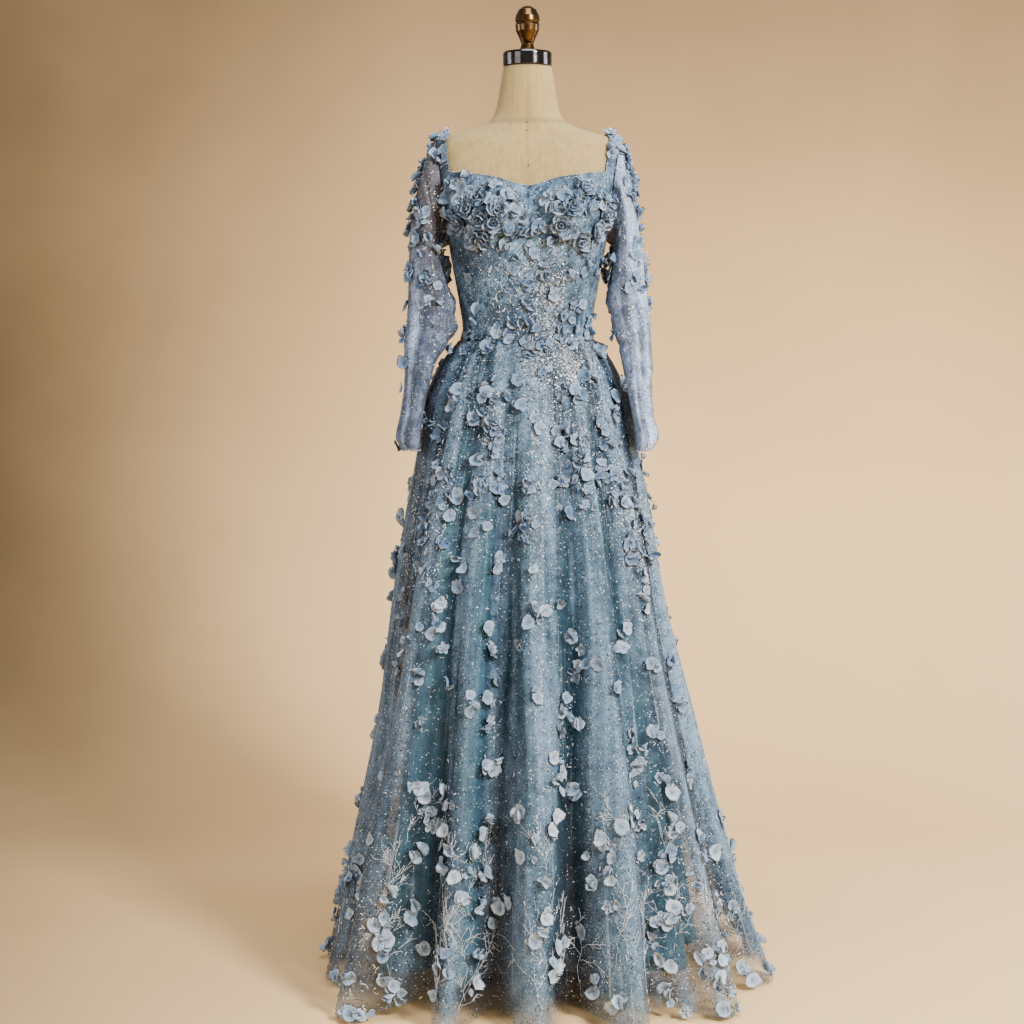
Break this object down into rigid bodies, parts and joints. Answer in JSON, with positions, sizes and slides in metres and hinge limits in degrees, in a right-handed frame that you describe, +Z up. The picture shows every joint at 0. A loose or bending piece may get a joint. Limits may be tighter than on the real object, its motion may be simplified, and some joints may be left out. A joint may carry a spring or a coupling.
{
  "type": "a-line evening dress on a dress form",
  "caption": "Full-length A-line evening dress with sheer long sleeves, gathered cups and a tulle skirt over a satin lining, standing on a limbless dress form.",
  "frame": {"origin": "on the floor, at the centre of the stand's base", "axes": "+Z up, +X to the right as seen from the front, +Y to the back"},
  "size_m": [0.8283, 0.9467, 1.769],
  "materials": {
    "linen": "woven linen, matt",
    "chrome": "polished",
    "bronze": "dark bronzed",
    "stand": "satin black",
    "tulle": "sheer net with sequins",
    "sleeve": "sheer net",
    "satin": "satin",
    "bodice": "net over satin",
    "petal": "matt organza petals",
    "zip": "enamelled to match the cloth"
  },
  "bodies": {
    "dress_and_form": {"applique_bust_left": "petal", "applique_bust_right": "petal", "applique_skirt_back_left": "petal", "applique_skirt_back_right": "petal", "applique_skirt_front_left": "petal", "applique_skirt_front_right": "petal", "bodice_back_left": "bodice", "bodice_back_right": "bodice", "bodice_front": "bodice", "bodice_side_left": "bodice", "bodice_side_right": "bodice", "cup_left": "bodice", "cup_right": "bodice", "form_finial": "bronze", "form_neck_cap": "chrome", "form_torso": "linen", "lining_back_left": "satin", "lining_back_right": "satin", "lining_front": "satin", "skirt_back_left": "tulle", "skirt_back_right": "tulle", "skirt_front": "tulle", "sleeve_left": "sleeve", "sleeve_right": "sleeve", "stand_base": "stand", "stand_pole": "stand", "strap_left": "bodice", "strap_right": "bodice", "zip_slider": "zip"},
    "zip_pull": {"zip_pull": "zip"}
  },
  "joints": [
    {"name": "zip_pull_hinge", "type": "hinge", "parent": "dress_and_form", "child": "zip_pull", "pos_m": [0, 0.1133, 1.4195], "axis": [1, 0, 0], "range_deg": [0, 150]}
  ]
}
